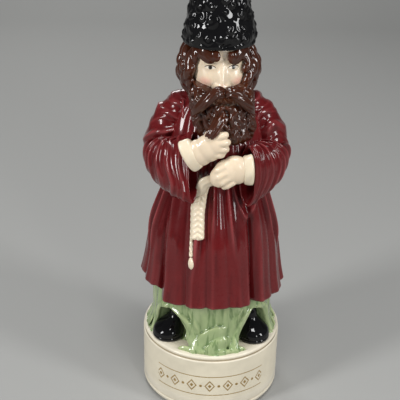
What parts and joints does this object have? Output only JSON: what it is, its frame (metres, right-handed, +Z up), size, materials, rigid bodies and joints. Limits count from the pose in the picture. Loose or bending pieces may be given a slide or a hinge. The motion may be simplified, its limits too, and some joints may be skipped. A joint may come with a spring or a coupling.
{
  "type": "figural liquor decanter",
  "caption": "Hollow glazed ceramic bottle shaped as a bearded man in a belted coat on a round drum, with a lift-off hat stopper on a cork.",
  "frame": {"origin": "centre of the foot ring's plane, on the surface that the drum stands on", "axes": "+Z up through the hat, the figure faces -Y, +X is the figure's left"},
  "size_m": [0.0929, 0.092, 0.286],
  "materials": {
    "drum_cream": "ivory clear glaze, satin",
    "grass_green": "sage green glaze, glossy",
    "boot_black": "black glaze, glossy",
    "coat_burgundy": "burgundy glaze, glossy, thinner and pinker on the folds",
    "hand_cream": "cream glaze, satin",
    "cuff_cream": "cream glaze, satin",
    "sash_cream": "cream glaze, satin",
    "skin": "cream glaze with blushed cheeks, satin",
    "hair_brown": "chestnut glaze, glossy, redder on the locks",
    "neck_bisque": "bare fired clay, matte",
    "hat_black": "black glaze over a curled fur relief, glossy",
    "cork": "pressed cork, matte"
  },
  "bodies": {
    "bottle": {"base_drum": "drum_cream", "grass_mound": "grass_green", "boot_right": "boot_black", "boot_left": "boot_black", "coat_skirt": "coat_burgundy", "coat_bodice": "coat_burgundy", "sleeve_right": "coat_burgundy", "sleeve_left": "coat_burgundy", "cuff_right": "cuff_cream", "cuff_left": "cuff_cream", "hand_right": "hand_cream", "hand_left": "hand_cream", "sash_belt": "sash_cream", "sash_end_long": "sash_cream", "sash_end_short": "sash_cream", "head_shell": "skin", "hair": "hair_brown", "beard": "hair_brown", "moustache": "hair_brown", "neck_ring": "neck_bisque"},
    "hat_stopper": {"hat": "hat_black", "cork_sleeve": "cork"}
  },
  "joints": [
    {"name": "hat_lift", "type": "slide", "parent": "bottle", "child": "hat_stopper", "axis": [0, 0, 1], "range_m": [0, 0.04]}
  ]
}
